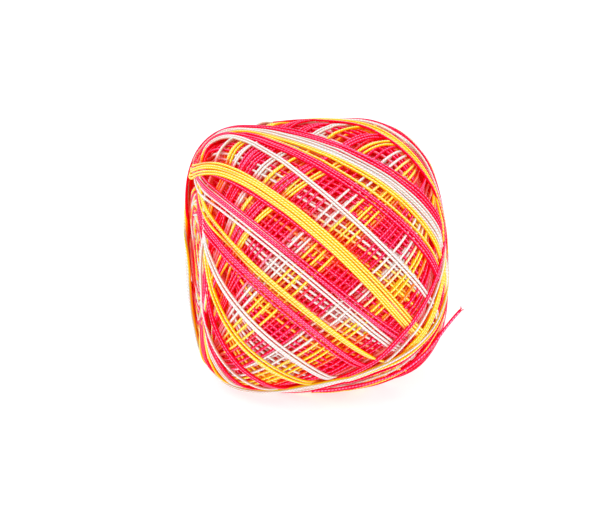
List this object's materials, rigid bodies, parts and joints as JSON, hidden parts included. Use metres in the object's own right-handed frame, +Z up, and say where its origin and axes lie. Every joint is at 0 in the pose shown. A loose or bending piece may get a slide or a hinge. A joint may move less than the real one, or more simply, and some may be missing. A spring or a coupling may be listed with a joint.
{
  "type": "ball of melange yarn",
  "caption": "Rounded barrel-shaped ball of variegated cotton thread, cross wound with diagonal bands, with one loose thread end.",
  "frame": {"origin": "middle of the small flat spot that the ball rests on", "axes": "+Z up from the surface; X along the axis the ball was wound round, which lies level; -Y towards the front that the picture shows"},
  "size_m": [0.0454, 0.048, 0.0472],
  "materials": {
    "wound_thread": "matte mercerised cotton in crimson pink, white and yellow stretches",
    "loose_thread": "matte mercerised cotton, crimson pink"
  },
  "bodies": {
    "root": {"ball": "wound_thread", "loose_end": "loose_thread"}
  },
  "joints": []
}
